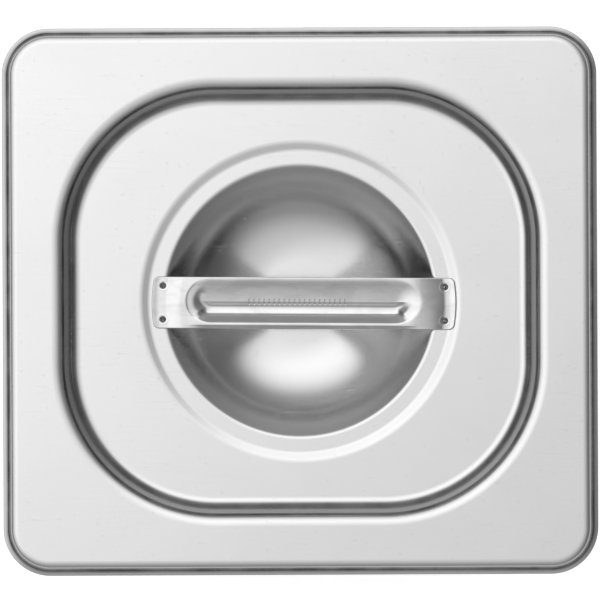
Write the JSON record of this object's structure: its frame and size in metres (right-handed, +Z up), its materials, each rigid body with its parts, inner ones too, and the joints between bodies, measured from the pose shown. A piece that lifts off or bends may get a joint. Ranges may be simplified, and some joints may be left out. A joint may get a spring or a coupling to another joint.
{
  "type": "deli food pan",
  "caption": "Rectangular drawn steel food pan with a tapered body, a lift-off raised-rim cover, a round finger bowl and a channelled strip handle welded across it.",
  "frame": {"origin": "middle of the underside of the pan's base", "axes": "+Z up, +X along the rim's long side and the handle strip, +Y along its short side"},
  "size_m": [0.176, 0.162, 0.1028],
  "materials": {
    "pan_steel": "satin stainless sheet, drawn",
    "cover_steel": "fine satin stainless sheet",
    "handle_steel": "bright rolled stainless strip",
    "weld_steel": "matt grey electrode marks"
  },
  "bodies": {
    "pan": {"pan_body": "pan_steel"},
    "cover": {"cover_panel": "cover_steel", "handle_strip": "handle_steel", "spot_weld_front_left": "weld_steel", "spot_weld_front_right": "weld_steel", "spot_weld_back_left": "weld_steel", "spot_weld_back_right": "weld_steel"}
  },
  "joints": [
    {"name": "cover_lift", "type": "slide", "parent": "pan", "child": "cover", "axis": [0, 0, 1], "range_m": [0, 0.12]}
  ]
}
